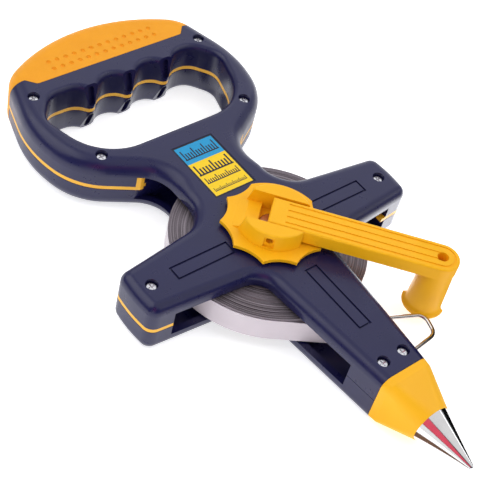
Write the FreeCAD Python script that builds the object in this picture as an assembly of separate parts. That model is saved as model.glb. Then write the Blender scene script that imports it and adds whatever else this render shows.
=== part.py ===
import FreeCAD, Part
import math
import os
from FreeCAD import Vector

# Open-frame surveyor's tape reel, in millimetres.
# Origin: where the reel's axis meets the flat back face that the tool lies on.
# +Z runs out of the front face along the reel's axis, +Y towards the carrying handle,
# -Y towards the ground spike. The crank is folded over the front, its knob beside the frame.

# ---- driving dimensions: frame ----
THICK = 25.2            # back face to front face of the closed frame
PLATE = 2.6             # thickness of the front and back plates
WALL = 3.0              # thickness of the side walls
STRIPE = 1.8            # thickness of the strips held between the two shells
HANDLE_ROUND = 6.5      # rounding of the handle's outer edges
ARM_ROUND = 4.5         # rounding of the arms' outer edges
OPENING_ROUND = 2.6     # rounding of the hand opening's edges
NECK = 20.0             # half-width of the neck below the handle
NECK_LOW, NECK_HIGH = 30.0, 39.4    # the neck's straight stretch
TOP = 140.0             # height of the handle's top above the reel's axis
ARM_REACH = 68.2        # half-span across the two side arms
ARM_CORNER = 4.6        # corners of their ends
SEAM_Y = -80.5          # end of the shells, where the nose starts
SEAM_X = 11.9           # half-width of the bottom arm at that end
WINDOW_SKIRT = 6.2      # depth of the plates' edges beside the open windows
WINDOW_TOP = 53.0       # the windows' ends: below the handle,
WINDOW_SIDE = 56.8      # near the ends of the arms
WINDOW_LOW = -66.0      # and near the nose
END_WALL = 1.6          # walls that close the arm ends
RIM = 1.0               # the handle strip's upturned rims at the upper window's edges
TAB = 2.5               # how far the right arm's strip reaches into its window
SEAM_SLOT, SEAM_DEEP = 0.25, 0.5    # shadow line where two mouldings meet
JOINT_GAP = 0.15        # gap left where two visible pieces meet in a line

# ---- driving dimensions: handle ----
GROOVE_R = 9.3          # finger grooves
GROOVE_TOP = 106.0      # how far the grooves reach into the grip bar
RIDGE_X = (-18.0, 2.0, 22.0)    # ridges between the fingers
RIDGE_R = 3.0
RIDGE_FOOT = 99.0       # where a ridge's two slopes would meet
RIDGE_SLOPE = 52.0      # slope of the ridges' sides
RIDGE_TIP = 100.9       # the ridges' rounded tips at mid-thickness
RIDGE_LEAN = 17.0       # the ridges lean back towards both faces
RIDGE_FLAT = 2.0        # half-height of the stretch that doesn't lean
PALM_SIDE = (46.5, 95.0, 9.0)       # corners of the hand opening's right end
PALM_SHOULDER = (38.0, GROOVE_TOP, 9.0)
PALM_FOOT = (37.5, 65.3, 24.0)
POCKET_WIDTH, POCKET_LENGTH, POCKET_DEEP = 3.0, 9.6, 1.8
POCKET_Z = 6.9          # height of each ridge pocket's middle from mid-thickness
PAD_Y = 114.4           # lower edge of the soft grip pad
PAD_SKIN = 3.0
DIMPLES = 13            # dimples in each row on the pad
DIMPLE_PITCH = 4.45
DIMPLE_ROWS = (119.4, 124.1)
DIMPLE_R, DIMPLE_UP = 1.15, 0.35

# ---- driving dimensions: case screws, label and engraved lines ----
SCREW_SPOTS = ((44.0, 108.4), (-44.0, 108.4), (37.9, 66.3), (-37.9, 66.3),
               (60.0, 0.0), (-60.0, 0.0), (5.2, -73.7), (-5.2, -73.7))
SCREW_HEAD_R, SCREW_HEAD_H = 2.35, 1.8
SCREW_R = 1.3
SCREW_SINK = 3.3        # depth of the head's recess
SCREW_END = 4.0
BOSS_R = 4.0
LABEL_HALF = 10.6
LABEL_LOW, LABEL_HIGH = 23.8, 55.3
LABEL_SINK = 0.5
LINE_W = 0.85           # width of the engraved lines
LINE_DEEP = 0.7
SIDE_PANEL = (21.5, 49.7, -3.4, 3.4)
LOW_PANEL = (-3.2, 3.2, -57.6, -24.1)

# ---- driving dimensions: reel ----
TAPE_W = 11.0
ROLL_R = 41.4
CORE_R = 16.8
FLANGE_R = 22.5
FLANGE_T = 1.5
FLANGE_GAP = 0.2        # between the wound tape and each flange
SHAFT_R = 6.0
FIT = 0.05              # radial clearance of every running fit
FRONT_JOURNAL_R = 8.0
BACK_JOURNAL_R = 5.0
FRONT_BUSH_R, FRONT_BOSS_R = 10.0, 13.0
BACK_BUSH_R, BACK_BOSS_R = 7.0, 10.0
BUSH_LIP = 2.3          # how far each bush's flange overhangs its sleeve
BUSH_LIP_T = 0.7
BACK_CAP_T = 1.2
BACK_HEAD_Z = (1.5, 2.6)    # where the back screw's head turns, behind the cap
KEY_HALF = 1.5
HUB_LOW = THICK + 0.3   # underside of the crank hub
HUB_SCREW_R, HUB_SCREW_H = 6.0, 1.6
SOCKET_Z = 21.2         # floor of the square socket in the spindle
TANG = 4.5              # half-width of the square drive between spindle and hub

# ---- driving dimensions: crank ----
CRANK_ANGLE = -49.8     # direction of the folded crank about the reel's axis
LOBES = 10
LOBE_PHASE = 4.0
LOBE_R, LOBE_DIP = 22.0, 2.6
PLAIN_LOBES = (0, 1)    # lobes, counted from the phase, that run on without a dip
DISC_TOP, DISC_T = THICK + 2.8, 1.5
CHEEK_TOP = THICK + 10.3
CHEEK_R_LOW, CHEEK_R_TOP = 15.4, 14.5
SLOT_HALF = 7.8
PIVOT_Z = THICK + 6.6
PIN_R = 1.5
ARM_HALF = 7.2
ARM_END = -2.6
ARM_LOW, ARM_TOP = THICK + 3.8, THICK + 10.0
KNOB_A = 68.4           # distance of the knob's axis from the reel's axis
SLOT_FLOOR = THICK + 4.0
HUB_POCKET_FLOOR = THICK + 1.4
HUB_POCKET = (-6.5, 7.0)    # from the root of the crank to beyond its pivot
ARM_LINES = (5.1, 1.75)     # distances of the crank's fine lines from its middle
LINE_FROM = 4.2         # where they start
ARM_LINE_HALF, ARM_LINE_DEEP = 0.45, 0.35
KNOB_TOP, KNOB_LOW = ARM_LOW - 0.3, 6.7
KNOB_R_TOP, KNOB_R_LOW = 6.9, 7.6
KNOB_LIP_R, KNOB_LIP_H = 9.1, 2.8
KNOB_LIP_OPEN = 24.5    # direction in which the knob's lip is left out
AXLE_R = 1.5
AXLE_HEAD_R, AXLE_SEAT = 2.3, 0.8

# ---- driving dimensions: nose, spike, tape end ----
NOSE_Y = -99.8
NOSE_R = 8.6
NOSE_STRAIGHT = 3.5
SPIGOT_Y = -70.3
SPIGOT_HALF = 8.4
NOSE_BOSS = 2.2         # height of the screw bosses inside the nose socket
NUT_Y, NUT_H, NUT_AF = -89.0, 4.0, 8.0
SHANK_R = 2.5
SPIKE_R, TIP_R = 8.35, 1.25
SPIKE_TIP_Y = -122.8
TAIL_R = 42.45          # distance of the tape's loose tail from the reel's axis
TAIL_T = 0.3
TAIL_FROM = 178.0       # direction where the loose turn comes out from under the arm
TAIL_HEADING = -35.4    # direction of the tail's straight stretch
TAIL_BEND_R = 2.2
RING_X, RING_Y = 16.7, -61.0
RING_WIRE_R, RING_PLAY = 0.9, 0.25
END_PLATE_T = 0.6
END_PLATE_HALF = 4.0
END_PLATE_BACK, END_PLATE_FRONT = 3.2, 1.8  # reach of the plate from the ring, each way
RIVET_R, RIVET_HEAD_R, RIVET_HEAD_T = 0.6, 1.1, 0.45

# ---- derived ----
MID = THICK / 2
STRIPE_LOW, STRIPE_TOP = MID - STRIPE / 2, MID + STRIPE / 2
TAPE_LOW, TAPE_TOP = MID - TAPE_W / 2, MID + TAPE_W / 2
INNER_TOP = THICK - PLATE
SPOOL_LOW, SPOOL_TOP = TAPE_LOW - FLANGE_GAP - FLANGE_T, TAPE_TOP + FLANGE_GAP + FLANGE_T
FRONT_BOSS_Z = SPOOL_TOP + 0.7 + BUSH_LIP_T
BACK_BOSS_Z = SPOOL_LOW - 0.3 - BUSH_LIP_T
BACK_BUSH_Z = 2.9
RIVET_X = RING_X - 2.0
TAPE_END = RING_X - 1.2
RIVET_Z = (MID - 2.4, MID + 2.4)
ORIGIN = Vector(0, 0, 0)
X, Y, Z = Vector(1, 0, 0), Vector(0, 1, 0), Vector(0, 0, 1)
BIG = 400.0


# ---- helpers ----
def box(x0, x1, y0, y1, z0, z1):
    return Part.makeBox(x1 - x0, y1 - y0, z1 - z0, Vector(x0, y0, z0))


def rod(x, y, z0, z1, radius):
    return Part.makeCylinder(radius, z1 - z0, Vector(x, y, z0), Z)


def rod_y(y_far, y_near, radius):
    """Cylinder along Y on the spike's axis."""
    return Part.makeCylinder(radius, y_near - y_far, Vector(0, y_far, MID), Y)


def tube(z0, z1, outer, inner):
    return rod(0, 0, z0, z1, outer).cut(rod(0, 0, z0 - 1, z1 + 1, inner))


def fuse(shapes):
    return shapes[0].multiFuse(shapes[1:]).removeSplitter()


def cut_all(shape, tools):
    for tool in tools:
        shape = shape.cut(tool)
    return shape


def mirrored(half):
    """Corners of the right half, from the top down, with their mirror images."""
    return half + [(-x, y, radius) for x, y, radius in reversed(half) if x > 0]


def rounded_wire(corners, z):
    """Closed wire at height z through (x, y, radius) corners, each rounded by a tangent arc."""
    count = len(corners)
    spots = []
    for i in range(count):
        here = Vector(*corners[i][:2], z)
        radius = corners[i][2]
        before = (Vector(*corners[i - 1][:2], z) - here).normalize()
        after = (Vector(*corners[(i + 1) % count][:2], z) - here).normalize()
        half_angle = before.getAngle(after) / 2
        reach = radius / math.tan(half_angle)
        inward = (before + after).normalize() * (radius / math.sin(half_angle) - radius)
        spots.append((here + before * reach, here + inward, here + after * reach))
    edges = []
    for i in range(count):
        start, middle, end = spots[i]
        if (end - start).Length > 1e-6:
            edges.append(Part.Arc(start, middle, end).toShape())
        following = spots[(i + 1) % count][0]
        if (following - end).Length > 1e-6:
            edges.append(Part.LineSegment(end, following).toShape())
    return Part.Wire(edges)


def prism(corners, z0, z1, grow=0.0):
    face = Part.Face(rounded_wire(corners, z0))
    if grow:
        face = face.makeOffset2D(grow)
    return face.extrude(Z * (z1 - z0))


def around(radius, degrees, z):
    return Vector(radius * math.cos(math.radians(degrees)), radius * math.sin(math.radians(degrees)), z)


def turned_profile(points):
    """Solid of revolution about Z through (radius, z) points."""
    corners = [Vector(radius, 0, z) for radius, z in points]
    wire = Part.makePolygon(corners + [corners[0]])
    return Part.Face(wire).revolve(ORIGIN, Z, 360)


def crank_placed(shape):
    """Turn a shape drawn along +X into the folded crank's direction."""
    turned = shape.copy()
    turned.rotate(ORIGIN, Z, CRANK_ANGLE)
    return turned


def cross_recess(x, y, z, span, width, deep):
    """Cutter for a Phillips recess going down from height z."""
    half, thin = span / 2, width / 2
    return fuse([box(x - half, x + half, y - thin, y + thin, z - deep, z + 1),
                 box(x - thin, x + thin, y - half, y + half, z - deep, z + 1)])


# ---- outlines ----
OUTLINE = mirrored([
    (0.0, TOP + 12.0, 82.0),
    (46.7, 125.8, 18.0),
    (56.5, 93.0, 52.0),
    (50.5, 66.0, 30.0),
    (NECK, 48.0, 15.0),
    (NECK, 17.7, 14.0),
    (ARM_REACH - 0.8, 11.45, ARM_CORNER),
    (ARM_REACH + 0.4, 0.0, 60.0),
    (ARM_REACH - 0.8, -11.7, ARM_CORNER),
    (18.0, -15.7, 9.0),
    (SEAM_X, SEAM_Y, 0.0),
])
PLAIN_OPENING = mirrored([PALM_SHOULDER, PALM_SIDE, PALM_FOOT])
PAD_REGION = mirrored([
    (80.0, 200.0, 0.0),
    (80.0, 122.0, 0.0),
    (42.0, 118.6, 1.0),
    (38.2, PAD_Y, 2.0),
])
RING_PATH = [
    (RING_X, RING_Y + 9.0, 1.8),
    (34.9, RING_Y + 0.7, 4.0),
    (32.0, RING_Y - 8.8, 5.0),
    (RING_X, RING_Y - 10.3, 1.8),
]


def grooved_opening():
    """Corners of the hand opening, with a groove for each finger between the ridges."""
    rise = math.tan(math.radians(RIDGE_SLOPE))
    run = (GROOVE_TOP - RIDGE_FOOT) / rise
    grooves = [(RIDGE_X[0] - run, GROOVE_TOP, GROOVE_R)]
    for left, right in zip(RIDGE_X, RIDGE_X[1:]):
        middle = (left + right) / 2
        grooves.append((left, RIDGE_FOOT, RIDGE_R))
        grooves.append((middle, RIDGE_FOOT + rise * (right - left) / 2, GROOVE_R))
    grooves.append((RIDGE_X[-1], RIDGE_FOOT, RIDGE_R))
    grooves.append((RIDGE_X[-1] + run, GROOVE_TOP, GROOVE_R))
    return PLAIN_OPENING[1:-1] + [PLAIN_OPENING[-1]] + grooves + [PLAIN_OPENING[0]]


OPENING = grooved_opening()


# ---- frame ----
def edge_radii(edge):
    """Rounding at the two ends of one edge of the frame's faces, or None for a sharp edge."""
    span = edge.BoundBox
    if span.YMax < SEAM_Y + 0.01:
        return None
    if span.YMin > 60 and max(span.XMax, -span.XMin) < 46.5 and span.YMax < GROOVE_TOP + 1:
        return OPENING_ROUND, OPENING_ROUND
    if span.YMin > NECK_HIGH - 1:
        return HANDLE_ROUND, HANDLE_ROUND
    if span.YMin > NECK_LOW - 1:
        rising = edge.Vertexes[0].Y < edge.Vertexes[1].Y
        return (ARM_ROUND, HANDLE_ROUND) if rising else (HANDLE_ROUND, ARM_ROUND)
    return ARM_ROUND, ARM_ROUND


def round_edges(block):
    """Round the front and back edges; the rounding grows along the straight neck."""
    document = FreeCAD.newDocument("rounding")
    base = document.addObject("Part::Feature", "block")
    base.Shape = block
    rounded = document.addObject("Part::Fillet", "rounded")
    rounded.Base = base
    chosen = []
    for number, edge in enumerate(block.Edges, 1):
        if edge.BoundBox.ZLength < 1e-3 and edge_radii(edge):
            chosen.append((number, *edge_radii(edge)))
    rounded.Edges = chosen
    document.recompute()
    return rounded.Shape.copy()


def ridge_lean(side):
    """Wedge that leans the ridges back from mid-thickness; side is +1 for the front, -1 for the back."""
    wedge = box(-PALM_SHOULDER[0], PALM_SHOULDER[0], RIDGE_TIP - 10, RIDGE_TIP, -5, 20)
    wedge.rotate(Vector(0, RIDGE_TIP, 0), X, -RIDGE_LEAN)
    wedge = wedge.common(box(-BIG, BIG, 0, BIG, 0, 20))
    if side < 0:
        wedge = wedge.mirror(ORIGIN, Z)
    wedge.translate(Vector(0, 0, MID + side * RIDGE_FLAT))
    return wedge


def ridge_pocket(x, side):
    """Oval pocket in the ridge between two fingers; side is +1 for the front, -1 for the back."""
    end = POCKET_WIDTH / 2
    reach = POCKET_LENGTH / 2 - end
    slot = fuse([box(-end, end, -3, POCKET_DEEP, -reach, reach),
                 Part.makeCylinder(end, POCKET_DEEP + 3, Vector(0, -3, reach), Y),
                 Part.makeCylinder(end, POCKET_DEEP + 3, Vector(0, -3, -reach), Y)])
    slot.rotate(ORIGIN, X, -RIDGE_LEAN * side)
    back = (POCKET_Z - RIDGE_FLAT) * math.tan(math.radians(RIDGE_LEAN))
    slot.translate(Vector(x, RIDGE_TIP + back, MID + side * POCKET_Z))
    return slot


def frame_block():
    """The whole frame as one solid, with its rounded edges and the grooved hand opening."""
    block = round_edges(prism(OUTLINE, 0, THICK).cut(prism(OPENING, -1, THICK + 1)))
    block = cut_all(block, [ridge_lean(1), ridge_lean(-1)])
    return cut_all(block, [ridge_pocket(x, side) for x in RIDGE_X for side in (1, -1)])


def pad_core():
    """The tongue of the shells that fills the grip pad."""
    return prism(OUTLINE, PAD_SKIN, THICK - PAD_SKIN, -PAD_SKIN)


def grip_pad(block):
    pad = block.common(prism(PAD_REGION, -1, THICK + 1)).cut(pad_core())
    dimples = []
    for y in DIMPLE_ROWS:
        for i in range(DIMPLES):
            x = (i - (DIMPLES - 1) / 2) * DIMPLE_PITCH
            for z in (THICK + DIMPLE_UP, -DIMPLE_UP):
                dimples.append(Part.makeSphere(DIMPLE_R, Vector(x, y, z)))
    return pad.cut(Part.makeCompound(dimples))


def hollows():
    """The spaces inside the frame: handle legs, grip bar, reel bay, arm ends and nose socket."""
    inside = prism(OUTLINE, PLATE, INNER_TOP, -WALL)
    legs = inside.common(box(-BIG, BIG, WINDOW_TOP + WALL, GROOVE_TOP - 3, 0, THICK))
    bar = prism(OUTLINE, 2 * PLATE, THICK - 2 * PLATE, -2 * WALL)
    socket = inside.common(box(-BIG, BIG, -BIG, WINDOW_LOW - WALL, 0, THICK))
    open_end = socket.copy()
    open_end.translate(Vector(0, -WALL - 1, 0))
    end = WINDOW_SIDE + END_WALL
    return [
        legs.cut(prism(PLAIN_OPENING, 0, THICK, WALL)),
        bar.common(box(-BIG, BIG, GROOVE_TOP + 2 * WALL, BIG, 0, THICK)),
        inside.common(box(-WINDOW_SIDE, WINDOW_SIDE, WINDOW_LOW, WINDOW_TOP, 0, THICK)),
        socket.fuse(open_end),
        inside.common(box(end, BIG, -BIG, BIG, 0, THICK)),
        inside.common(box(-BIG, -end, -BIG, BIG, 0, THICK)),
    ]


def screw_bosses():
    bosses = []
    for x, y in SCREW_SPOTS:
        if y < WINDOW_LOW:
            bosses.append(rod(x, y, 1, PLATE + NOSE_BOSS, BOSS_R))
            bosses.append(rod(x, y, INNER_TOP - NOSE_BOSS, THICK - 1, BOSS_R))
        else:
            bosses.append(rod(x, y, 1, THICK - 1, BOSS_R))
    return bosses


def screw_holes():
    holes = []
    for x, y in SCREW_SPOTS:
        holes.append(rod(x, y, THICK - SCREW_SINK, THICK + 1, SCREW_HEAD_R + 0.25))
        holes.append(rod(x, y, SCREW_END, THICK, SCREW_R))
    return holes


def rectangle_line(x0, x1, y0, y1):
    """Cutter for a thin rectangle engraved in the front face."""
    outer = box(x0, x1, y0, y1, THICK - LINE_DEEP, THICK + 1)
    inner = box(x0 + LINE_W, x1 - LINE_W, y0 + LINE_W, y1 - LINE_W, 0, THICK + 2)
    return outer.cut(inner)


def frame_body(block):
    """Both shells and the strips between them, before they are separated."""
    pad_space = block.common(prism(PAD_REGION, -1, THICK + 1, JOINT_GAP)).cut(pad_core())
    body = cut_all(block, hollows() + [pad_space])
    bosses = Part.makeCompound(screw_bosses()).common(block)
    windows = box(-WINDOW_SIDE, WINDOW_SIDE, WINDOW_LOW, WINDOW_TOP, WINDOW_SKIRT, THICK - WINDOW_SKIRT)
    body = fuse([body, *bosses.Solids]).cut(windows)
    body = fuse([body, tube(FRONT_BOSS_Z, INNER_TOP + 0.5, FRONT_BOSS_R, FRONT_BUSH_R),
                 tube(PLATE - 0.5, BACK_BOSS_Z, BACK_BOSS_R, BACK_BUSH_R)])
    left_panel = (-SIDE_PANEL[1], -SIDE_PANEL[0], *SIDE_PANEL[2:])
    return cut_all(body, [
        rod(0, 0, MID, THICK + 1, FRONT_BUSH_R),
        rod(0, 0, -1, MID, BACK_BUSH_R),
        *screw_holes(),
        box(-LABEL_HALF, LABEL_HALF, LABEL_LOW, LABEL_HIGH, THICK - LABEL_SINK, THICK + 1),
        rectangle_line(*SIDE_PANEL),
        rectangle_line(*left_panel),
        rectangle_line(*LOW_PANEL),
    ])


STRIP_ZONES = {
    "handle_strip": (-BIG, BIG, WINDOW_TOP - 1, BIG),
    "right_arm_strip": (WINDOW_SIDE - 1, BIG, -30, 30),
    "left_arm_strip": (-BIG, 1 - WINDOW_SIDE, -30, 30),
}
STRIP_RIMS = {
    "handle_strip": (RIM, -BIG, BIG, WINDOW_TOP - RIM, WINDOW_TOP, STRIPE_LOW, THICK - WINDOW_SKIRT - 0.1),
    "right_arm_strip": (WALL, WINDOW_SIDE - TAB, WINDOW_SIDE, -30, 30, STRIPE_LOW, STRIPE_TOP),
}


def strip_space(name):
    """Room for a strip between the shells, which keep all that is inside their walls up to the handle."""
    inside = prism(OUTLINE, STRIPE_LOW, STRIPE_TOP, -WALL)
    kept = inside.common(box(-BIG, BIG, -BIG, WINDOW_TOP + WALL, 0, THICK))
    return box(*STRIP_ZONES[name], STRIPE_LOW, STRIPE_TOP).cut(kept)


def strip(name, body, block):
    """One coloured strip between the shells, with what it shows in the side walls' windows."""
    band = body.common(strip_space(name))
    if name not in STRIP_RIMS:
        return band
    depth, *reach = STRIP_RIMS[name]
    return fuse([band, block.common(box(*reach)).cut(prism(OUTLINE, 0, THICK, -depth))])


def seam_slots():
    """Cutters for the shadow line under each strip, and between the shells on the bottom arm."""
    slots = []
    for low, *zone in ((STRIPE_LOW, -BIG, BIG, -17.0, BIG), (MID, -BIG, BIG, SEAM_Y, -20.0)):
        low -= SEAM_SLOT
        band = box(*zone, low, low + SEAM_SLOT)
        outside = prism(OUTLINE, low, low + SEAM_SLOT, 1)
        slots.append(outside.cut(prism(OUTLINE, low, low + SEAM_SLOT, -SEAM_DEEP)).common(band))
    low = STRIPE_LOW - SEAM_SLOT
    slots.append(prism(OPENING, low, STRIPE_LOW, SEAM_DEEP).cut(prism(OPENING, low, STRIPE_LOW, -1)))
    return slots


def shell(body, z0, z1):
    """The part of the frame between two heights, without the strips' places."""
    part = body.common(box(-BIG, BIG, -BIG, BIG, z0, z1))
    part = cut_all(part, [strip_space(name) for name in STRIP_ZONES])
    return cut_all(part, seam_slots())


def case_screws():
    screws = []
    low = THICK - SCREW_SINK
    top = low + SCREW_HEAD_H
    for x, y in SCREW_SPOTS:
        head = rod(x, y, low, top, SCREW_HEAD_R)
        head = head.makeFillet(0.6, [e for e in head.Edges if e.BoundBox.ZMin > top - 1e-3])
        head = head.cut(cross_recess(x, y, top, 2.9, 0.6, 0.9))
        screws.append(fuse([head, rod(x, y, SCREW_END, low, SCREW_R)]))
    return Part.makeCompound(screws)


def label_plate():
    inset = 0.1
    return box(-LABEL_HALF + inset, LABEL_HALF - inset, LABEL_LOW + inset, LABEL_HIGH - inset,
               THICK - LABEL_SINK, THICK - 0.1)


# ---- nose and spike ----
def nose_section(y, half_width, half_height, corner):
    """Rounded rectangle square to Y, about the frame's mid-thickness."""
    wire = rounded_wire([(-half_width, half_height, corner), (half_width, half_height, corner),
                         (half_width, -half_height, corner), (-half_width, -half_height, corner)], 0)
    wire.rotate(ORIGIN, X, 90)
    wire.translate(Vector(0, y, MID))
    return wire


def nose_cone():
    """Tapers from the bottom arm's section to the round foot of the spike."""
    skin = Part.makeLoft([
        nose_section(SEAM_Y - JOINT_GAP, SEAM_X, MID, ARM_ROUND),
        nose_section(SEAM_Y - NOSE_STRAIGHT, SEAM_X - 0.3, MID, ARM_ROUND + 0.3),
        nose_section(NOSE_Y, NOSE_R, NOSE_R, NOSE_R - 0.05),
    ], True, True)
    spigot = box(-SPIGOT_HALF, SPIGOT_HALF, SEAM_Y - 2, SPIGOT_Y, PLATE + 0.3, INNER_TOP - 0.3)
    cuts = [rod_y(NUT_Y - NUT_H, SPIGOT_Y + 1, NUT_AF / 2 + 1.2),
            rod_y(NOSE_Y - 1, NUT_Y, SHANK_R)]
    for x, y in SCREW_SPOTS:
        if y < WINDOW_LOW:
            cuts.append(rod(x, y, 0, THICK, SCREW_R + 0.3))
            cuts.append(rod(x, y, 0, PLATE + NOSE_BOSS + 0.2, BOSS_R + 0.25))
            cuts.append(rod(x, y, INNER_TOP - NOSE_BOSS - 0.2, THICK, BOSS_R + 0.25))
    return cut_all(fuse([skin, spigot]), cuts)


def ground_spike():
    """Turned steel point with a threaded shank that the nut pulls into the nose."""
    length = NOSE_Y - SPIKE_TIP_Y
    slope = math.atan2(SPIKE_R - TIP_R, length - TIP_R)
    touch_r, touch_z = TIP_R * math.cos(slope), length - TIP_R + TIP_R * math.sin(slope)
    shank = NOSE_Y - NUT_Y - 1
    corners = [Vector(0, 0, shank), Vector(SHANK_R, 0, shank), Vector(SHANK_R, 0, 0),
               Vector(SPIKE_R, 0, 0), Vector(touch_r, 0, touch_z)]
    edges = [Part.LineSegment(a, b).toShape() for a, b in zip(corners, corners[1:])]
    diagonal = TIP_R * math.sqrt(0.5)
    bend = Vector(diagonal, 0, length - TIP_R + diagonal)
    edges.append(Part.Arc(corners[-1], bend, Vector(0, 0, length)).toShape())
    edges.append(Part.LineSegment(Vector(0, 0, length), corners[0]).toShape())
    spike = Part.Face(Part.Wire(edges)).revolve(ORIGIN, Z, 360)
    spike.rotate(ORIGIN, X, 90)
    spike.translate(Vector(0, NOSE_Y, MID))
    return spike


def spike_nut():
    across = NUT_AF / math.sqrt(3)
    corners = [Vector(across * math.cos(math.radians(60 * i)), NUT_Y - NUT_H,
                      MID + across * math.sin(math.radians(60 * i))) for i in range(7)]
    body = Part.Face(Part.makePolygon(corners)).extrude(Y * NUT_H)
    return body.cut(rod_y(NUT_Y - NUT_H - 1, NUT_Y + 1, SHANK_R))


# ---- tape ----
def tape_roll():
    return tube(TAPE_LOW, TAPE_TOP, ROLL_R, CORE_R)


def tape_tail():
    """The tape's loose last turn, its straight run out of the frame and the bend to its end."""
    heading = math.radians(TAIL_HEADING)
    foot = 360 + TAIL_HEADING - 90
    inner, outer = TAIL_R - TAIL_T / 2, TAIL_R + TAIL_T / 2
    turn = Part.makeCylinder(outer, TAPE_W, Vector(0, 0, TAPE_LOW), Z, foot - TAIL_FROM)
    turn = turn.cut(rod(0, 0, 0, THICK, inner))
    turn.rotate(ORIGIN, Z, TAIL_FROM)
    drop = TAIL_BEND_R * (1 - math.cos(heading))
    run_length = (RING_Y + drop + TAIL_R * math.cos(heading)) / math.sin(heading)
    run = box(0, run_length, -outer, -inner, TAPE_LOW, TAPE_TOP)
    bend_centre = Vector(run_length, TAIL_BEND_R - TAIL_R, TAPE_LOW)
    bend_out = Part.makeCylinder(TAIL_BEND_R + TAIL_T / 2, TAPE_W, bend_centre, Z, -TAIL_HEADING)
    bend_in = Part.makeCylinder(TAIL_BEND_R - TAIL_T / 2, TAPE_W, bend_centre, Z)
    bend_out.rotate(bend_centre, Z, -90)
    straight = fuse([run, bend_out.cut(bend_in)])
    straight.rotate(ORIGIN, Z, TAIL_HEADING)
    end_x = straight.BoundBox.XMax
    tip = box(end_x, TAPE_END, RING_Y - TAIL_T / 2, RING_Y + TAIL_T / 2, TAPE_LOW, TAPE_TOP)
    return cut_all(fuse([turn, straight, tip]), [rivet_shank(z) for z in RIVET_Z])


def tape_end_plate():
    """Folded metal clip on the tape's end, with the hole that the ring hangs in."""
    half = TAIL_T / 2 + END_PLATE_T
    low, high = MID - END_PLATE_HALF, MID + END_PLATE_HALF
    plate = box(RING_X - END_PLATE_BACK, RING_X + END_PLATE_FRONT, RING_Y - half, RING_Y + half, low, high)
    corners = [e for e in plate.Edges if e.BoundBox.XMin > RING_X and e.BoundBox.YLength > 0.5]
    plate = plate.makeFillet(1.5, corners)
    fold = box(0, TAPE_END, RING_Y - TAIL_T / 2, RING_Y + TAIL_T / 2, 0, THICK)
    eye = Part.makeCylinder(RING_WIRE_R + RING_PLAY, 9, Vector(RING_X, RING_Y - 4, MID), Y)
    return cut_all(plate, [fold, eye] + [rivet_shank(z) for z in RIVET_Z])


def rivet_shank(z):
    half = TAIL_T / 2 + END_PLATE_T
    return Part.makeCylinder(RIVET_R, 2 * half, Vector(RIVET_X, RING_Y - half, z), Y)


def end_plate_rivets():
    half = TAIL_T / 2 + END_PLATE_T
    rivets = []
    for z in RIVET_Z:
        heads = []
        for y in (RING_Y + half, RING_Y - half - RIVET_HEAD_T):
            heads.append(Part.makeCylinder(RIVET_HEAD_R, RIVET_HEAD_T, Vector(RIVET_X, y, z), Y))
        rivets.append(fuse([rivet_shank(z)] + heads))
    return Part.makeCompound(rivets)


def end_ring():
    path = rounded_wire(RING_PATH, MID)
    start = path.Vertexes[0].Point
    tangent = path.Edges[0].tangentAt(path.Edges[0].FirstParameter)
    section = Part.Wire(Part.makeCircle(RING_WIRE_R, start, tangent))
    return path.makePipeShell([section], True, True)


# ---- reel ----
def spool_core():
    core = fuse([tube(TAPE_LOW - FLANGE_GAP, TAPE_TOP + FLANGE_GAP, CORE_R, SHAFT_R),
                 tube(SPOOL_LOW, SPOOL_LOW + FLANGE_T, FLANGE_R, SHAFT_R),
                 tube(SPOOL_TOP - FLANGE_T, SPOOL_TOP, FLANGE_R, SHAFT_R)])
    return cut_all(core, [spindle_key(), anchor_pin()])


def anchor_pin():
    """Pin that holds the tape's inner end to the core."""
    return rod(CORE_R - 2.6, 0, TAPE_LOW, TAPE_TOP, 1.2)


def spindle_key():
    return box(SHAFT_R - 1.5, SHAFT_R + 1.8, -KEY_HALF, KEY_HALF, TAPE_LOW, TAPE_TOP)


def spindle():
    body = fuse([rod(0, 0, BACK_BUSH_Z, SPOOL_LOW, BACK_JOURNAL_R),
                 rod(0, 0, SPOOL_LOW, SPOOL_TOP, SHAFT_R),
                 rod(0, 0, SPOOL_TOP, HUB_LOW - 0.1, FRONT_JOURNAL_R)])
    socket = crank_placed(box(-TANG, TANG, -TANG, TANG, SOCKET_Z, THICK + 1))
    return cut_all(body, [spindle_key(), hub_screw_shank(), back_screw_shank(), socket])


def hub_screw_shank():
    return rod(0, 0, SOCKET_Z - 7, HUB_LOW, 2.0)


def back_screw_shank():
    return rod(0, 0, BACK_HEAD_Z[1], BACK_HEAD_Z[1] + 7.5, 2.0)


def hub_screw():
    top = HUB_LOW + HUB_SCREW_H
    head = rod(0, 0, HUB_LOW, top, HUB_SCREW_R)
    head = head.makeFillet(0.5, [e for e in head.Edges if e.BoundBox.ZMin > top - 1e-3])
    return fuse([head.cut(cross_recess(0, 0, top, 4.6, 1.0, 1.0)), hub_screw_shank()])


def back_screw():
    """Screw with a broad head that keeps the spindle in the back bush."""
    low, top = BACK_HEAD_Z
    head = rod(0, 0, low, top, BACK_BUSH_R - 1.2)
    recess = fuse([box(-2.6, 2.6, -0.5, 0.5, 0, low + 0.7), box(-0.5, 0.5, -2.6, 2.6, 0, low + 0.7)])
    return fuse([head.cut(recess), back_screw_shank()])


def back_cap():
    """Press-in cap that covers the back screw, flush with the back face."""
    cap = rod(0, 0, 0, BACK_CAP_T, BACK_BUSH_R - 0.1)
    return cap.cut(rod(0, 0, -1, 0.3, BACK_BUSH_R - 0.6).cut(rod(0, 0, -1, 0.3, BACK_BUSH_R - 1.2)))


def flanged_bush(sleeve, lip, radius, bore):
    """Plain bearing with a flange; sleeve and lip are their lower and upper heights."""
    return fuse([tube(*sleeve, radius, bore), tube(*lip, radius + BUSH_LIP, bore)])


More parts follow.
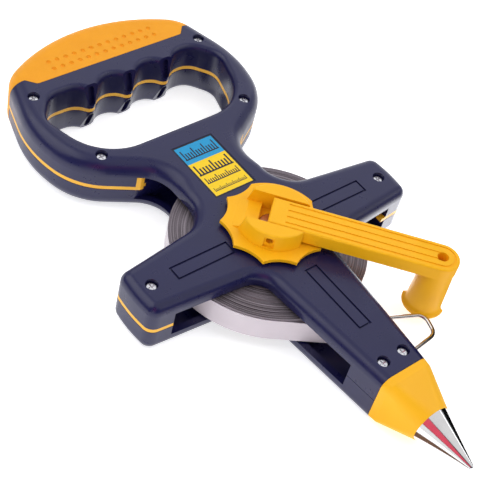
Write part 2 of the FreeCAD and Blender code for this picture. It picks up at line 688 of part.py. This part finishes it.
def front_bush():
    return flanged_bush((FRONT_BOSS_Z - 0.1, THICK), (FRONT_BOSS_Z - BUSH_LIP_T, FRONT_BOSS_Z),
                        FRONT_BUSH_R, FRONT_JOURNAL_R + FIT)


def back_bush():
    return flanged_bush((BACK_BUSH_Z, BACK_BOSS_Z + 0.1), (BACK_BOSS_Z, BACK_BOSS_Z + BUSH_LIP_T),
                        BACK_BUSH_R, BACK_JOURNAL_R + FIT)


def friction_washer():
    """Thrust washer between the front bush and the spool."""
    return tube(SPOOL_TOP + 0.2, SPOOL_TOP + 0.65, FRONT_BUSH_R + 2, FRONT_JOURNAL_R + 0.6)


# ---- crank, drawn along +X ----
def hub_disc():
    """Ten-sided finger disc; its dips stop where the crank folds out."""
    start = LOBE_PHASE - CRANK_ANGLE
    step = 360 / LOBES
    edges = []
    for i in range(LOBES):
        angle = start + i * step
        middle_r = LOBE_R if i in PLAIN_LOBES else LOBE_R - LOBE_DIP
        rim = [(LOBE_R, angle), (middle_r, angle + step / 2), (LOBE_R, angle + step)]
        edges.append(Part.Arc(*[around(radius, turn, DISC_TOP - DISC_T) for radius, turn in rim]).toShape())
    return Part.Face(Part.Wire(edges)).extrude(Z * DISC_T)


def hub_cheeks():
    """The two cheeks that the crank folds between, joined by the slot's raised floor."""
    cheeks = turned_profile([(0, DISC_TOP - 0.5), (CHEEK_R_LOW, DISC_TOP - 0.5),
                             (CHEEK_R_LOW, DISC_TOP), (CHEEK_R_TOP, CHEEK_TOP), (0, CHEEK_TOP)])
    facet = box(-60, 0, -BIG, BIG, 0, 60)
    facet.rotate(ORIGIN, Y, 16)
    facet.translate(Vector(-13.2, 0, DISC_TOP))
    cheeks = cheeks.cut(facet).cut(box(12.3, 60, -BIG, BIG, 0, 60))
    rim = [e for e in cheeks.Edges if e.BoundBox.ZMin > CHEEK_TOP - 1e-3]
    cheeks = cheeks.makeFillet(0.8, rim)
    cheeks = cheeks.cut(box(-60, 60, -SLOT_HALF, SLOT_HALF, DISC_TOP, 60))
    ramp = Part.makePolygon([Vector(a, -SLOT_HALF, z) for a, z in (
        (-16.0, DISC_TOP - 0.5), (-16.0, DISC_TOP), (-12.0, SLOT_FLOOR), (0, SLOT_FLOOR),
        (0, DISC_TOP - 0.5), (-16.0, DISC_TOP - 0.5))])
    return fuse([cheeks, Part.Face(ramp).extrude(Y * 2 * SLOT_HALF)])


def crank_hub():
    hub = fuse([hub_disc(), rod(0, 0, HUB_LOW, DISC_TOP - 0.5, CHEEK_R_LOW - 4), hub_cheeks(),
                box(-TANG + FIT, TANG - FIT, -TANG + FIT, TANG - FIT, SOCKET_Z + 0.3, HUB_LOW + 0.5)])
    pin_seat = box(-2.2, 2.2, -BIG, -CHEEK_R_TOP + 0.5, PIVOT_Z - 2.9, PIVOT_Z + 1.9)
    return cut_all(hub, [
        box(*HUB_POCKET, -SLOT_HALF, SLOT_HALF, HUB_POCKET_FLOOR, 60),
        rod(0, 0, HUB_LOW, HUB_POCKET_FLOOR + 1, HUB_SCREW_R + 0.2),
        hub_screw_shank(),
        crank_pin(),
        pin_seat,
        pin_seat.mirror(ORIGIN, Y),
        Part.makeCylinder(PIN_R, 60, Vector(0, -30, PIVOT_Z), Y),
    ])


def crank_pin():
    half = CHEEK_R_TOP - 2.6
    return Part.makeCylinder(PIN_R, 2 * half, Vector(0, -half, PIVOT_Z), Y)


def stadium(a0, a1, half, z0, z1, square_start=False):
    """Long rounded bar along X; the far end is always round."""
    bar = box(a0, a1, -half, half, z0, z1).fuse(rod(a1, 0, z0, z1, half))
    return bar if square_start else bar.fuse(rod(a0, 0, z0, z1, half))


def crank_arm():
    arm = stadium(ARM_END, KNOB_A, ARM_HALF, ARM_LOW, ARM_TOP, True).removeSplitter()
    edges = [e for e in arm.Edges if e.BoundBox.ZMin > ARM_TOP - 1e-3]
    arm = arm.makeFillet(0.8, edges)
    cuts = [Part.makeCylinder(PIN_R + FIT, 40, Vector(0, -20, PIVOT_Z), Y),
            rod(KNOB_A, 0, ARM_LOW + AXLE_SEAT, 60, AXLE_HEAD_R + 0.1),
            rod(KNOB_A, 0, 0, 60, AXLE_R)]
    for middle in ARM_LINES:
        outer = stadium(LINE_FROM, KNOB_A, middle + ARM_LINE_HALF, ARM_TOP - ARM_LINE_DEEP, ARM_TOP + 1, True)
        inner = stadium(0, KNOB_A, middle - ARM_LINE_HALF, 0, 60, True)
        cuts.append(outer.cut(inner))
    for side in (1, -1):
        low, high = sorted((side * 0.6, side * (ARM_HALF - 2.0)))
        cuts.append(box(13, KNOB_A - ARM_HALF - 2, low, high, 0, ARM_TOP - 2.2))
    return cut_all(arm, cuts)


def knob_axle():
    """Snap-in pin that holds the knob under the arm's end."""
    seat = ARM_LOW + AXLE_SEAT
    return fuse([rod(KNOB_A, 0, seat, seat + 1.0, AXLE_HEAD_R),
                 rod(KNOB_A, 0, KNOB_LOW + 1.8, seat, AXLE_R),
                 rod(KNOB_A, 0, KNOB_LOW + 0.7, KNOB_LOW + 1.9, 3.0)])


def crank_knob():
    """Tapered grip whose free end flares into a lip round one half of it."""
    lip_top = Vector(KNOB_R_LOW, 0, KNOB_LOW + KNOB_LIP_H)
    lip_edge = Vector(KNOB_LIP_R, 0, KNOB_LOW + 0.7)
    flare = Part.Arc(lip_edge, Vector(KNOB_R_LOW + 0.45, 0, KNOB_LOW + 1.5), lip_top).toShape()
    corners = [lip_top, Vector(KNOB_R_TOP, 0, KNOB_TOP), Vector(0, 0, KNOB_TOP), Vector(0, 0, KNOB_LOW),
               Vector(KNOB_LIP_R, 0, KNOB_LOW), lip_edge]
    lines = [Part.LineSegment(a, b).toShape() for a, b in zip(corners, corners[1:])]
    grip = Part.Face(Part.Wire(lines + [flare])).revolve(ORIGIN, Z, 360)
    open_side = box(0, 20, -20, 20, 0, lip_top.z).cut(rod(0, 0, 0, 60, KNOB_R_LOW))
    open_side.rotate(ORIGIN, Z, KNOB_LIP_OPEN - CRANK_ANGLE)
    grip = cut_all(grip, [open_side, rod(0, 0, 0, 60, AXLE_R + FIT), rod(0, 0, 0, KNOB_LOW + 2.2, 3.6)])
    grip.translate(Vector(KNOB_A, 0, 0))
    return grip


# ---- write every piece ----
def pieces():
    block = frame_block()
    body = frame_body(block)
    made = {
        "front_shell": shell(body, MID, BIG),
        "back_shell": shell(body, -BIG, MID),
        "grip_pad": grip_pad(block),
        "case_screws": case_screws(),
        "label_plate": label_plate(),
        "nose_cone": nose_cone(),
        "ground_spike": ground_spike(),
        "spike_nut": spike_nut(),
        "tape_tail": tape_tail(),
        "tape_end_plate": tape_end_plate(),
        "end_plate_rivets": end_plate_rivets(),
        "end_ring": end_ring(),
        "front_bush": front_bush(),
        "back_bush": back_bush(),
        "friction_washer": friction_washer(),
        "tape_roll": tape_roll(),
        "spool_core": spool_core(),
        "anchor_pin": anchor_pin(),
        "spindle": spindle(),
        "spindle_key": spindle_key(),
        "back_screw": back_screw(),
        "back_cap": back_cap(),
    }
    for name in STRIP_ZONES:
        made[name] = strip(name, body, block)
    for make in (crank_hub, hub_screw, crank_pin, crank_arm, knob_axle, crank_knob):
        made[make.__name__] = crank_placed(make())
    return made


def main():
    os.makedirs("parts", exist_ok=True)
    for name, shape in sorted(pieces().items()):
        shape.exportStep("parts/" + name + ".step")
        print(name, "valid" if shape.isValid() else "INVALID", "solids", len(shape.Solids),
              "volume", round(shape.Volume, 1))


main()
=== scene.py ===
import bpy
import math
from mathutils import Matrix, Vector, noise


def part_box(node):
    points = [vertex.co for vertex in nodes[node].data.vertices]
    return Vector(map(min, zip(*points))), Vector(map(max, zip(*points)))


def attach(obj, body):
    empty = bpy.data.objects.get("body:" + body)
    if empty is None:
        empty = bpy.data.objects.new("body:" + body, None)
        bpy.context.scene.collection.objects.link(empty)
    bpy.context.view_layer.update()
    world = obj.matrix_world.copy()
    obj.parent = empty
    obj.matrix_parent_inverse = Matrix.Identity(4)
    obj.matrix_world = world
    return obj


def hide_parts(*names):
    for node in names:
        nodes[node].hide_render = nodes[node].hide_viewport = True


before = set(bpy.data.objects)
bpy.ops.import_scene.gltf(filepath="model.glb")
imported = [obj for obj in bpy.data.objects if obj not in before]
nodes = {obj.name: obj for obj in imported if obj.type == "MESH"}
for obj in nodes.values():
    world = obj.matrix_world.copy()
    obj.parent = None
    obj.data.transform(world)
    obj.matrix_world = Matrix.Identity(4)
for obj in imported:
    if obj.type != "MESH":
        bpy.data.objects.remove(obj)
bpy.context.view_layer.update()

# Surveyor's tape reel, lying on its back. Everything is in metres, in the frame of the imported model.
MM = 0.001


# ---- camera, floor and light; angles are in degrees ----
CAMERA_AZIMUTH, CAMERA_ELEVATION, CAMERA_ROLL = -140.70, 47.25, 16.25
CAMERA_DISTANCE = 0.507
CAMERA_TARGET = Vector((-6.76, 2.33, 12.6)) * MM
CAMERA_LENS, SENSOR_WIDTH = 89.5, 36.0      # in millimetres, as Blender's camera takes them
CLIP_START = 0.01
FLOOR_HALF, FLOOR_GLOW = 3.0, 0.62
PANELS = (      # name, azimuth, elevation, power, whether it shows in gloss
    ("left_panel", 138, 50, 8.5, True),
    ("right_panel", -45, 52, 8.5, True),
    ("back_panel", 42, 30, 3.0, True),
    ("fill_panel", -148, 14, 8.5, False),
)
PANEL_DISTANCE, PANEL_SIZE = 1.4, 1.3
BRIGHT_SIDE = (40, 30)      # azimuth and elevation of the room's brightest wall
DARK_ROOM = (0.46, (0.07, 0.07, 0.08, 1))       # share of the way to that wall, and colour
BRIGHT_ROOM = (0.88, (0.62, 0.63, 0.67, 1))
WHITE, BLACK = (1, 1, 1), (0.004, 0.004, 0.010)
ROSE, UMBER = (0.85, 0.10, 0.16), (0.20, 0.11, 0.07)
SPIKE_MIDDLE = Vector((0, -110, 12.6)) * MM     # the cards' places are measured from here
CARDS = (       # name, azimuth, elevation, distance, size, colour, strength, and lean where it has one
    ("white_card", -170, 5, 0.30, (0.16, 0.18), WHITE, 0.95),
    ("rose_card", -162, 42, 0.30, (0.16, 0.20), ROSE, 1.0),
    ("sky_card", -20, 74, 0.30, (0.34, 0.47), WHITE, 0.80),
    ("flag_card", 12, 4, 0.06, (0.12, 0.06), BLACK, 0.0),
    ("umber_card", 180, -31, 0.0225, (0.06, 0.016), UMBER, 1.0, 89),
    ("glow_card", 41, -5.9, 0.1133, (0.07, 0.07), WHITE, 3.9, 89),
    ("grip_shade", 90, -3.42, 0.1943, (0.085, 0.024), BLACK, 0.0, 89),
    ("grip_glow", 90, -3.15, 0.2113, (0.085, 0.010), WHITE, 1.6, 89),
)


def direction(azimuth, elevation):
    """Unit vector that points from the object towards a place in the studio."""
    a, e = math.radians(azimuth), math.radians(elevation)
    return Vector((math.cos(a) * math.cos(e), math.sin(a) * math.cos(e), math.sin(e)))


def facing(back, roll=0.0):
    """Rotation whose local +Z is back, rolled by some degrees about it."""
    right = Vector((0, 0, 1)).cross(back).normalized()
    up = back.cross(right)
    turn = Matrix.Rotation(math.radians(roll), 3, back)
    return (turn @ Matrix((right, up, back)).transposed()).to_4x4()


def make_camera():
    camera = bpy.data.objects.new("camera", bpy.data.cameras.new("camera"))
    bpy.context.scene.collection.objects.link(camera)
    back = direction(CAMERA_AZIMUTH, CAMERA_ELEVATION)
    place = Matrix.Translation(CAMERA_TARGET + back * CAMERA_DISTANCE)
    camera.matrix_world = place @ facing(back, CAMERA_ROLL)
    camera.data.lens = CAMERA_LENS
    camera.data.sensor_width = SENSOR_WIDTH
    camera.data.clip_start = CLIP_START
    bpy.context.scene.camera = camera


def soft_light(name, azimuth, elevation, power, shines):
    """Square panel light; one that doesn't shine lights the object without showing in its gloss."""
    lamp = bpy.data.lights.new(name, "AREA")
    lamp.shape = "SQUARE"
    lamp.size = PANEL_SIZE
    lamp.energy = power
    holder = bpy.data.objects.new(name, lamp)
    bpy.context.scene.collection.objects.link(holder)
    back = direction(azimuth, elevation)
    holder.matrix_world = Matrix.Translation(back * PANEL_DISTANCE) @ facing(back)
    holder.visible_glossy = shines


def card(name, azimuth, elevation, distance, size, colour, strength, lean=None):
    """Glowing or dark panel that only glossy surfaces see, such as the chrome spike.

    It faces the spike, or the elevation lean when that is given: the cards with a lean lie flat."""
    width, height = size
    mesh = bpy.data.meshes.new(name)
    corners = [(-width / 2, -height / 2, 0), (width / 2, -height / 2, 0),
               (width / 2, height / 2, 0), (-width / 2, height / 2, 0)]
    mesh.from_pydata(corners, [], [(0, 1, 2, 3)])
    panel = bpy.data.objects.new(name, mesh)
    bpy.context.scene.collection.objects.link(panel)
    back = direction(azimuth, elevation)
    face = facing(direction(azimuth, lean) if lean else back)
    panel.matrix_world = Matrix.Translation(SPIKE_MIDDLE + back * distance) @ face
    finish = Finish(name, Base_Color=(0, 0, 0, 1), Specular_IOR_Level=0.0)
    finish.shader.inputs["Emission Color"].default_value = (*colour, 1)
    finish.shader.inputs["Emission Strength"].default_value = strength
    mesh.materials.append(finish.material)
    for ray in ("camera", "diffuse", "shadow", "transmission"):
        setattr(panel, "visible_" + ray, False)


def make_world():
    """White room that is brightest beyond the object and dark behind the camera."""
    world = bpy.data.worlds.new("studio")
    world.use_nodes = True
    tree = world.node_tree
    place = tree.nodes.new("ShaderNodeTexCoord")
    along = tree.nodes.new("ShaderNodeVectorMath")
    along.operation = "DOT_PRODUCT"
    along.inputs[1].default_value = direction(*BRIGHT_SIDE)
    tree.links.new(place.outputs["Generated"], along.inputs[0])
    ramp = tree.nodes.new("ShaderNodeValToRGB")
    ramp.color_ramp.interpolation = "EASE"
    first, last = ramp.color_ramp.elements
    first.position, first.color = DARK_ROOM
    last.position, last.color = BRIGHT_ROOM
    shift = tree.nodes.new("ShaderNodeMapRange")
    shift.inputs["From Min"].default_value = -1
    tree.links.new(along.outputs["Value"], shift.inputs["Value"])
    tree.links.new(shift.outputs["Result"], ramp.inputs["Fac"])
    tree.links.new(ramp.outputs["Color"], tree.nodes["Background"].inputs["Color"])
    bpy.context.scene.world = world


def make_studio():
    bpy.ops.mesh.primitive_plane_add(size=2 * FLOOR_HALF)
    floor = bpy.context.object
    floor.name = "floor"
    floor.data.materials.append(floor_finish())
    for settings in PANELS:
        soft_light(*settings)
    make_world()
    for settings in CARDS:
        card(*settings)
    bpy.context.scene.view_settings.view_transform = "Standard"


# ---- finishes ----
MIX_FACTOR, MIX_FIRST, MIX_SECOND, MIX_RESULT = 0, 6, 7, 2      # the Mix node's colour sockets


class Finish:
    """A node material on the Principled shader, with short calls for its procedural patterns."""

    def __init__(self, name, **sockets):
        self.material = bpy.data.materials.new(name)
        self.material.use_nodes = True
        self.tree = self.material.node_tree
        self.shader = self.tree.nodes["Principled BSDF"]
        for socket, value in sockets.items():
            self.shader.inputs[socket.replace("_", " ")].default_value = value
        self.place = self.add("ShaderNodeTexCoord").outputs["Object"]

    def add(self, kind, **settings):
        node = self.tree.nodes.new(kind)
        for key, value in settings.items():
            setattr(node, key, value)
        return node

    def link(self, output, node, socket):
        self.tree.links.new(output, node.inputs[socket])

    def stretched(self, scale):
        """Object coordinates scaled by a vector, for grain that runs one way."""
        mapping = self.add("ShaderNodeMapping", vector_type="POINT")
        mapping.inputs["Scale"].default_value = scale
        self.link(self.place, mapping, "Vector")
        return mapping.outputs["Vector"]

    def noise(self, size, detail=2.0, rough=0.5, at=None):
        """Noise whose blobs are about size across, in metres."""
        node = self.add("ShaderNodeTexNoise")
        node.inputs["Scale"].default_value = 1.0 / size
        node.inputs["Detail"].default_value = detail
        node.inputs["Roughness"].default_value = rough
        self.link(at or self.place, node, "Vector")
        return node.outputs["Fac"]

    def spread(self, value, low, high, span=(0.3, 0.7)):
        """The value's middle span, mapped to low..high."""
        node = self.add("ShaderNodeMapRange")
        self.link(value, node, "Value")
        node.inputs["From Min"].default_value, node.inputs["From Max"].default_value = span
        node.inputs["To Min"].default_value, node.inputs["To Max"].default_value = low, high
        return node.outputs["Result"]

    def mixed(self, factor, first, second):
        """Colour between two colours or outputs."""
        node = self.add("ShaderNodeMix", data_type="RGBA")
        self.link(factor, node, MIX_FACTOR)
        for socket, colour in ((MIX_FIRST, first), (MIX_SECOND, second)):
            if isinstance(colour, tuple):
                node.inputs[socket].default_value = (*colour, 1)
            else:
                self.link(colour, node, socket)
        return node.outputs[MIX_RESULT]

    def colour(self, output):
        self.link(output, self.shader, "Base Color")

    def roughness(self, output):
        self.link(output, self.shader, "Roughness")

    def bump(self, height, depth, strength):
        """Relief of that depth in metres."""
        node = self.add("ShaderNodeBump")
        node.inputs["Distance"].default_value = depth
        node.inputs["Strength"].default_value = strength
        self.link(height, node, "Height")
        self.link(node.outputs["Normal"], self.shader, "Normal")


def floor_finish():
    """Pale paper that glows a little, so that it stays near white round the object."""
    finish = Finish("floor_paper", Specular_IOR_Level=0.2,
                    Emission_Color=(1, 1, 1, 1), Emission_Strength=FLOOR_GLOW)
    finish.colour(finish.mixed(finish.noise(0.4), (0.88, 0.88, 0.885), (0.92, 0.92, 0.925)))
    finish.roughness(finish.spread(finish.noise(0.05), 0.7, 0.8))
    return finish.material


MOULD_GRAIN, MOULD_RELIEF = 0.5 * MM, 0.003 * MM
SCRATCH_WIDTH, SCRATCH_RELIEF = 0.5 * MM, 0.004 * MM


def moulded(name, colour, shade, rough, **sockets):
    """Moulded plastic: spark-eroded grain, a faint flow mottle and handling sheen."""
    finish = Finish(name, **sockets)
    finish.colour(finish.mixed(finish.spread(finish.noise(14 * MM, 4.0), 0, 1), colour, shade))
    finish.roughness(finish.spread(finish.noise(6 * MM, 5.0, 0.6), rough - 0.05, rough + 0.06))
    finish.bump(finish.noise(MOULD_GRAIN), MOULD_RELIEF, 0.6)
    return finish.material


def soft_rubber(name, colour, shade):
    """Over-moulded rubber: fine matt skin with a slightly dusty bloom."""
    finish = Finish(name, Sheen_Weight=0.06, Sheen_Roughness=0.5, Specular_IOR_Level=0.22)
    bloom = finish.spread(finish.noise(7 * MM, 6.0, 0.65), 0, 1)
    finish.colour(finish.mixed(bloom, colour, shade))
    finish.roughness(finish.spread(finish.noise(1.2 * MM, 4.0), 0.52, 0.66))
    finish.bump(finish.noise(0.25 * MM, 4.0, 0.7), 0.03 * MM, 0.7)
    return finish.material


def metal(name, colour, shade, rough, grain_scale=(1, 1, 1)):
    """Bare or plated metal with fine scratches and patches of haze.

    A small grain_scale along an axis draws the scratches out that way."""
    finish = Finish(name, Metallic=1.0)
    lines = finish.noise(SCRATCH_WIDTH, 4.0, 0.7, finish.stretched(grain_scale))
    finish.colour(finish.mixed(finish.spread(finish.noise(5 * MM, 4.0), 0, 1), colour, shade))
    finish.roughness(finish.spread(lines, rough * 0.7, rough * 1.4))
    finish.bump(lines, SCRATCH_RELIEF, 0.5)
    return finish.material


NAVY, NAVY_DEEP = (0.0095, 0.0095, 0.060), (0.0085, 0.0085, 0.054)
AMBER, AMBER_DEEP = (0.90, 0.47, 0.022), (0.86, 0.42, 0.018)
SIGNAL, SIGNAL_DEEP = (0.96, 0.485, 0.006), (0.94, 0.455, 0.004)
ORANGE, ORANGE_DEEP = (0.91, 0.37, 0.010), (0.87, 0.34, 0.008)


def dress_nodes():
    """Gives each carried-over CAD node its finish, and returns the tape's enamel."""
    shell = moulded("navy_shell", NAVY, NAVY_DEEP, 0.30, Specular_IOR_Level=0.46)
    strip = moulded("amber_strip", AMBER, AMBER_DEEP, 0.40)
    crank = moulded("signal_yellow", SIGNAL, SIGNAL_DEEP, 0.42, Specular_IOR_Level=0.26)
    nose = moulded("nose_yellow", SIGNAL, SIGNAL_DEEP, 0.46, Specular_IOR_Level=0.32)
    black = moulded("spool_black", (0.02, 0.02, 0.022), (0.03, 0.03, 0.032), 0.45)
    grip = soft_rubber("orange_rubber", ORANGE, ORANGE_DEEP)
    zinc = metal("zinc_plate", (0.74, 0.74, 0.76), (0.62, 0.62, 0.66), 0.24)
    chrome = metal("chrome", (0.84, 0.83, 0.84), (0.76, 0.75, 0.76), 0.10, (1, 0.1, 1))
    wire = metal("ring_wire", (0.66, 0.62, 0.59), (0.50, 0.46, 0.43), 0.16, (0.3, 1, 1))
    bronze = metal("hub_screw_bronze", (0.62, 0.36, 0.22), (0.52, 0.29, 0.17), 0.34)
    steel = metal("turned_steel", (0.60, 0.60, 0.62), (0.52, 0.52, 0.55), 0.28, (1, 1, 0.1))
    brass = metal("bush_brass", (0.75, 0.55, 0.26), (0.66, 0.47, 0.22), 0.3, (1, 1, 0.1))
    enamel = moulded("tape_enamel", (0.64, 0.57, 0.62), (0.60, 0.53, 0.58), 0.34)
    finishes = {
        shell: ("front_shell", "back_shell", "back_cap"),
        strip: ("handle_strip", "right_arm_strip", "left_arm_strip"),
        crank: ("crank_hub", "crank_arm", "crank_knob", "knob_axle"),
        nose: ("nose_cone",),
        black: ("spool_core",),
        grip: ("grip_pad",),
        bronze: ("hub_screw",),
        wire: ("end_ring",),
        zinc: ("case_screws", "back_screw", "spike_nut", "crank_pin", "end_plate_rivets",
               "tape_end_plate"),
        chrome: ("ground_spike",),
        steel: ("spindle", "spindle_key", "anchor_pin", "friction_washer"),
        brass: ("front_bush", "back_bush"),
        enamel: ("tape_roll", "tape_tail", "label_plate"),
    }
    for material, names in finishes.items():
        for name in names:
            mesh = nodes[name].data
            mesh.materials.clear()
            mesh.materials.append(material)
    return enamel


# ---- pieces that Blender makes ----
def new_piece(name, vertices, faces, body, materials, choice=None):
    """Mesh piece on a body; choice gives each face's place in materials."""
    mesh = bpy.data.meshes.new(name)
    mesh.from_pydata(vertices, [], faces)
    for material in materials:
        mesh.materials.append(material)
    if choice:
        mesh.polygons.foreach_set("material_index", choice)
    mesh.update()
    piece = bpy.data.objects.new(name, mesh)
    bpy.context.scene.collection.objects.link(piece)
    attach(piece, body)
    return piece


CORE_SHARE = 16.8 / 22.5    # the core's radius as a share of its flanges' radius
LAYERS, ROLL_STEPS = 78, 180
LAYER_UNEVEN = 0.45 * MM    # how far a layer's edge may lie below the flange
LAYER_MEAN, LAYER_SWING = 0.5, 0.9
LAYER_SHIFT, SIDE_SHIFT, TURN_SHIFT = 3.7, 11.0, 0.8    # way through the noise per layer, side and turn
EDGE_DARK, EDGE_LIGHT, EDGE_WORN = (0.026, 0.018, 0.023), (0.38, 0.32, 0.36), (0.45, 0.40, 0.43)


def layer_height(layer, angle, side):
    """How far one layer of tape lies below its flange, which changes slowly along the turn."""
    start = Vector((layer * LAYER_SHIFT, side * SIDE_SHIFT, 0))
    spot = start + direction(math.degrees(angle), 0) * TURN_SHIFT
    return LAYER_UNEVEN * min(1, max(0, LAYER_MEAN + LAYER_SWING * noise.noise(spot)))


def roll_edge_finish():
    """Edges of the wound steel tape: thin dark and bright rings round the reel's axis."""
    finish = Finish("tape_edges", Metallic=0.45)
    split = finish.add("ShaderNodeSeparateXYZ")
    finish.link(finish.place, split, "Vector")
    flat = finish.add("ShaderNodeCombineXYZ")
    finish.link(split.outputs["X"], flat, "X")
    finish.link(split.outputs["Y"], flat, "Y")
    length = finish.add("ShaderNodeVectorMath", operation="LENGTH")
    finish.link(flat.outputs["Vector"], length, 0)
    radius = finish.add("ShaderNodeCombineXYZ")
    finish.link(length.outputs["Value"], radius, "X")
    fine = finish.noise(1.0 * MM, 6.0, 0.85, radius.outputs["Vector"])
    broad = finish.noise(2.6 * MM, 3.0, 0.6, radius.outputs["Vector"])
    rings = finish.mixed(finish.spread(fine, 0, 1, (0.42, 0.62)), EDGE_DARK, EDGE_LIGHT)
    finish.colour(finish.mixed(finish.spread(broad, 0, 0.4, (0.45, 0.75)), rings, EDGE_WORN))
    finish.roughness(finish.spread(finish.noise(9 * MM, 3.0), 0.28, 0.5))
    finish.bump(fine, 0.08 * MM, 0.8)
    return finish.material


def wound_tape(enamel):
    """The roll as it is wound: every layer's edge a little higher or lower than the next.

    Its section is drawn outwards across the top and back across the bottom."""
    low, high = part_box("tape_roll")
    outer, inner = high.x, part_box("spool_core")[1].x * CORE_SHARE
    width = (outer - inner) / LAYERS
    rings = []
    for side, base in ((1, high.z), (-1, low.z)):
        for layer in range(LAYERS)[::side]:
            edges = (inner + layer * width, inner + (layer + 1) * width)
            rings += [(radius, base, layer, side) for radius in edges[::side]]
    vertices, faces, choice = [], [], []
    for radius, base, layer, side in rings:
        for step in range(ROLL_STEPS):
            angle = 2 * math.pi * step / ROLL_STEPS
            height = base - side * layer_height(layer, angle, side)
            vertices.append((radius * math.cos(angle), radius * math.sin(angle), height))
    last_on_top = 2 * LAYERS - 1
    for ring in range(len(rings)):
        following = (ring + 1) % len(rings)
        for step in range(ROLL_STEPS):
            after = (step + 1) % ROLL_STEPS
            faces.append((ring * ROLL_STEPS + step, following * ROLL_STEPS + step,
                          following * ROLL_STEPS + after, ring * ROLL_STEPS + after))
            choice.append(1 if ring == last_on_top else 0)
    materials = (roll_edge_finish(), enamel)
    roll = new_piece("wound_tape", vertices, faces, "reel", materials, choice)
    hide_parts("tape_roll")


INK_AND_SHADOW, BLUE, YELLOW = 0, 1, 2     # places of the label's materials
BLUE_SHARE = 0.34               # part of the label that is blue
# Width of the label's dark rim, which is painted shadow of the recess it sits in.
RECESS_SHADOW_RIM = 0.8 * MM
PRINT_STEP = 0.012 * MM         # thickness of each layer of print
TICK_MARGIN = 1.6 * MM          # from the field's edge to the first tick's middle
SHORT_TICK = 0.6                # length of the ticks between the long ones, as a share of theirs
TICK_ROWS = (   # foot's height on the label from 0 to 1, ticks, their width and length, long one every
    (0.76, 13, 0.62 * MM, 5.2 * MM, 4),
    (0.43, 11, 0.80 * MM, 5.4 * MM, 5),
    (0.25, 16, 0.50 * MM, 3.0 * MM, 5),
    (0.08, 26, 0.28 * MM, 1.8 * MM, 5),
)


def printed(name, colour, shade):
    """Smooth printed film under a thin clear coat."""
    finish = Finish(name, Specular_IOR_Level=0.3, Coat_Weight=0.12, Coat_Roughness=0.15)
    finish.colour(finish.mixed(finish.spread(finish.noise(1.1 * MM, 4.0), 0, 1), colour, shade))
    finish.roughness(finish.spread(finish.noise(3 * MM, 4.0), 0.32, 0.48))
    finish.bump(finish.noise(0.5 * MM, 3.0), 0.006 * MM, 0.5)
    return finish.material


def label_sticker():
    """Sticker with a blue and a yellow field, plain ruler ticks for its print, and round the fields a
    dark rim of painted shadow.
    """
    low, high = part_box("label_plate")
    # This dark material also colours the backing, whose rim round the fields is painted shadow.
    ink_and_shadow = printed("label_ink_and_shadow", (0.004, 0.005, 0.016), (0.007, 0.008, 0.022))
    blue = printed("label_blue", (0.004, 0.31, 0.60), (0.004, 0.28, 0.55))
    yellow = printed("label_yellow", (0.93, 0.63, 0.004), (0.90, 0.59, 0.004))
    vertices, faces, choice = [], [], []

    def slab(x0, x1, y0, y1, z0, z1, kind):
        start = len(vertices)
        corners = ((x0, y0), (x1, y0), (x1, y1), (x0, y1))
        vertices.extend((x, y, z) for z in (z0, z1) for x, y in corners)
        bottom = [start + i for i in range(4)]
        top = [corner + 4 for corner in bottom]
        faces.extend([bottom[::-1], top])
        for i in range(4):
            after = (i + 1) % 4
            faces.append((bottom[i], bottom[after], top[after], top[i]))
        choice.extend([kind] * 6)

    # The ticks lie on the fields, the fields on a dark backing whose rim round them is painted shadow,
    # as from the recess the label sits in.
    back = high.z - 3 * PRINT_STEP
    slab(low.x, high.x, low.y, high.y, low.z, back, INK_AND_SHADOW)
    x0, x1 = low.x + RECESS_SHADOW_RIM, high.x - RECESS_SHADOW_RIM
    y0, y1 = low.y + RECESS_SHADOW_RIM, high.y - RECESS_SHADOW_RIM
    divide = y1 - (y1 - y0) * BLUE_SHARE
    slab(x0, x1, divide, y1, back, back + PRINT_STEP, BLUE)
    slab(x0, x1, y0, divide, back, back + PRINT_STEP, YELLOW)
    for share, count, width, length, every in TICK_ROWS:
        foot = y0 + (y1 - y0) * share
        first, last = x0 + TICK_MARGIN, x1 - TICK_MARGIN
        slab(first - width, last + width, foot - width, foot, back, back + 2 * PRINT_STEP, INK_AND_SHADOW)
        for i in range(count):
            x = first + i * (last - first) / (count - 1)
            reach = length if i % every == 0 else SHORT_TICK * length
            slab(x - width / 2, x + width / 2, foot, foot + reach, back, back + 2 * PRINT_STEP, INK_AND_SHADOW)
    label = new_piece("label_sticker", vertices, faces, "frame", (ink_and_shadow, blue, yellow), choice)
    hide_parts("label_plate")


make_camera()
make_studio()
enamel = dress_nodes()
wound_tape(enamel)
label_sticker()

bpy.context.view_layer.update()
